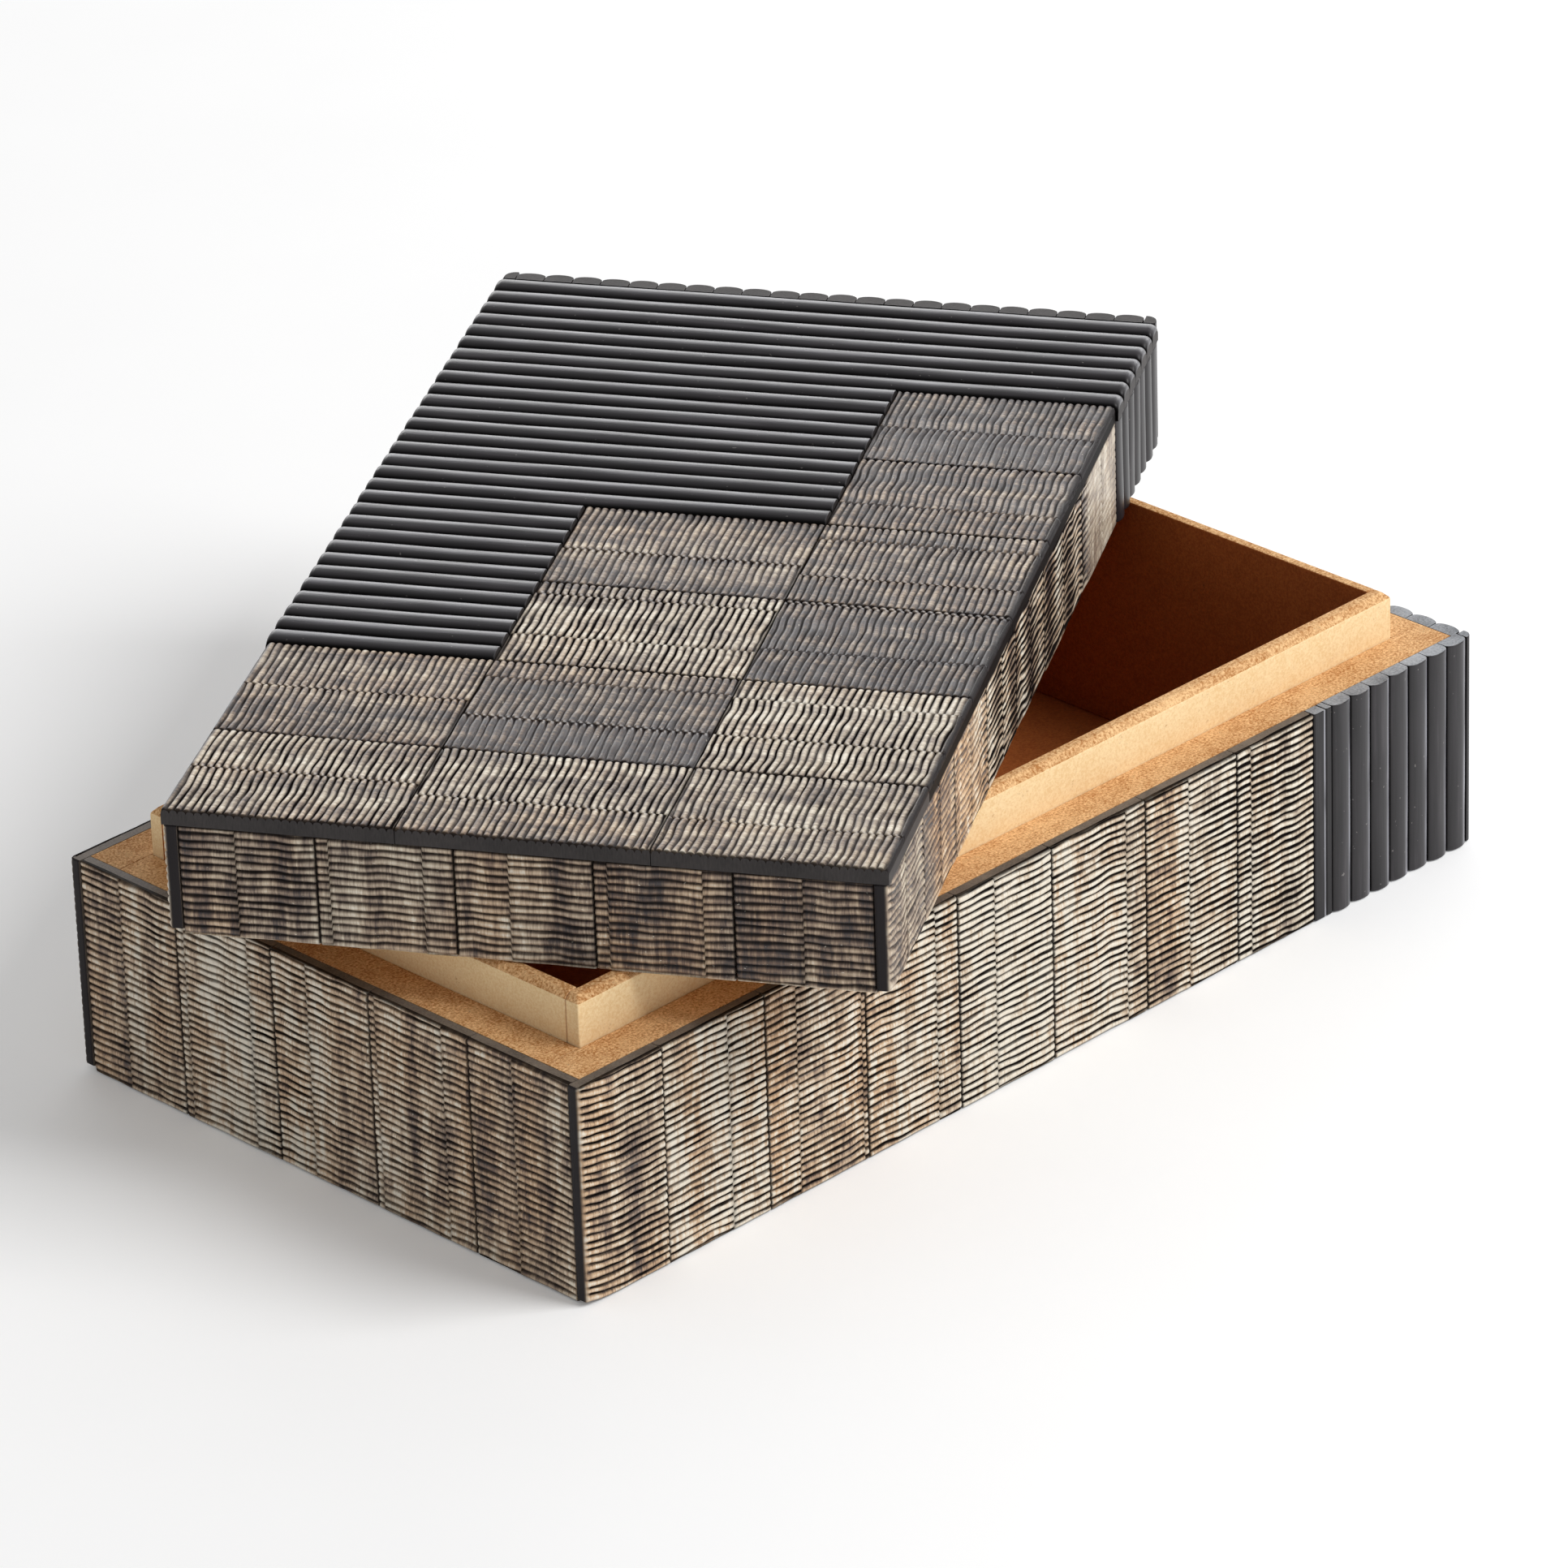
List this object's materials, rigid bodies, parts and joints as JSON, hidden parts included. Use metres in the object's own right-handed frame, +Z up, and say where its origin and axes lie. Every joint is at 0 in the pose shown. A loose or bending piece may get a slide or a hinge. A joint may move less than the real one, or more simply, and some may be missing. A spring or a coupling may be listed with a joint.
{
  "type": "keepsake box",
  "caption": "Rectangular keepsake box with a loose lift-off lid, a fibreboard core, carved ribbed horn tiles and black half-round reeds, the lid set askew on the base's locating lip.",
  "frame": {"origin": "centre of the base's flat bottom face", "axes": "+X from the front short side to the back short side along the length, +Y across to the left long side, +Z up; the lid is turned 31 degrees about +Z on the base"},
  "size_m": [0.3454, 0.2998, 0.1016],
  "materials": {
    "fibreboard": "raw cut fibreboard, fuzzy, with darker flecks",
    "pale_board": "smooth pale fibreboard",
    "carved_horn": "mottled tan, cream and brown horn with carved ribs, satin",
    "black_horn": "charcoal black horn, satin"
  },
  "bodies": {
    "base": {"base_back_reeds": "black_horn", "base_floor": "fibreboard", "base_front_tile_1": "carved_horn", "base_front_tile_2": "carved_horn", "base_front_tile_3": "carved_horn", "base_front_tile_4": "carved_horn", "base_front_tile_5": "carved_horn", "base_left_reeds": "black_horn", "base_left_tiles": "carved_horn", "base_right_reeds": "black_horn", "base_right_tile_1": "carved_horn", "base_right_tile_2": "carved_horn", "base_right_tile_3": "carved_horn", "base_right_tile_4": "carved_horn", "base_right_tile_5": "carved_horn", "base_right_tile_6": "carved_horn", "base_right_tile_7": "carved_horn", "base_right_tile_8": "carved_horn", "base_wall_back": "fibreboard", "base_wall_front": "fibreboard", "base_wall_left": "fibreboard", "base_wall_right": "fibreboard", "lip_board_back": "pale_board", "lip_board_front": "pale_board", "lip_board_left": "pale_board", "lip_board_right": "pale_board"},
    "lid": {"lid_back_reeds": "black_horn", "lid_front_tile_1": "carved_horn", "lid_front_tile_2": "carved_horn", "lid_front_tile_3": "carved_horn", "lid_front_tile_4": "carved_horn", "lid_front_tile_5": "carved_horn", "lid_left_reeds": "black_horn", "lid_left_tiles": "carved_horn", "lid_panel": "fibreboard", "lid_right_reeds": "black_horn", "lid_right_tile_1": "carved_horn", "lid_right_tile_2": "carved_horn", "lid_right_tile_3": "carved_horn", "lid_right_tile_4": "carved_horn", "lid_right_tile_5": "carved_horn", "lid_right_tile_6": "carved_horn", "lid_right_tile_7": "carved_horn", "lid_top_reeds": "black_horn", "lid_top_tile_left_1": "carved_horn", "lid_top_tile_left_2": "carved_horn", "lid_top_tile_middle_1": "carved_horn", "lid_top_tile_middle_2": "carved_horn", "lid_top_tile_middle_3": "carved_horn", "lid_top_tile_middle_4": "carved_horn", "lid_top_tile_right_1": "carved_horn", "lid_top_tile_right_2": "carved_horn", "lid_top_tile_right_3": "carved_horn", "lid_top_tile_right_4": "carved_horn", "lid_top_tile_right_5": "carved_horn", "lid_top_tile_right_6": "carved_horn", "lid_wall_back": "fibreboard", "lid_wall_front": "fibreboard", "lid_wall_left": "fibreboard", "lid_wall_right": "fibreboard"}
  },
  "joints": [
    {"name": "lid_lift", "type": "slide", "parent": "base", "child": "lid", "axis": [0, 0, 1], "range_m": [0, 0.1]}
  ]
}
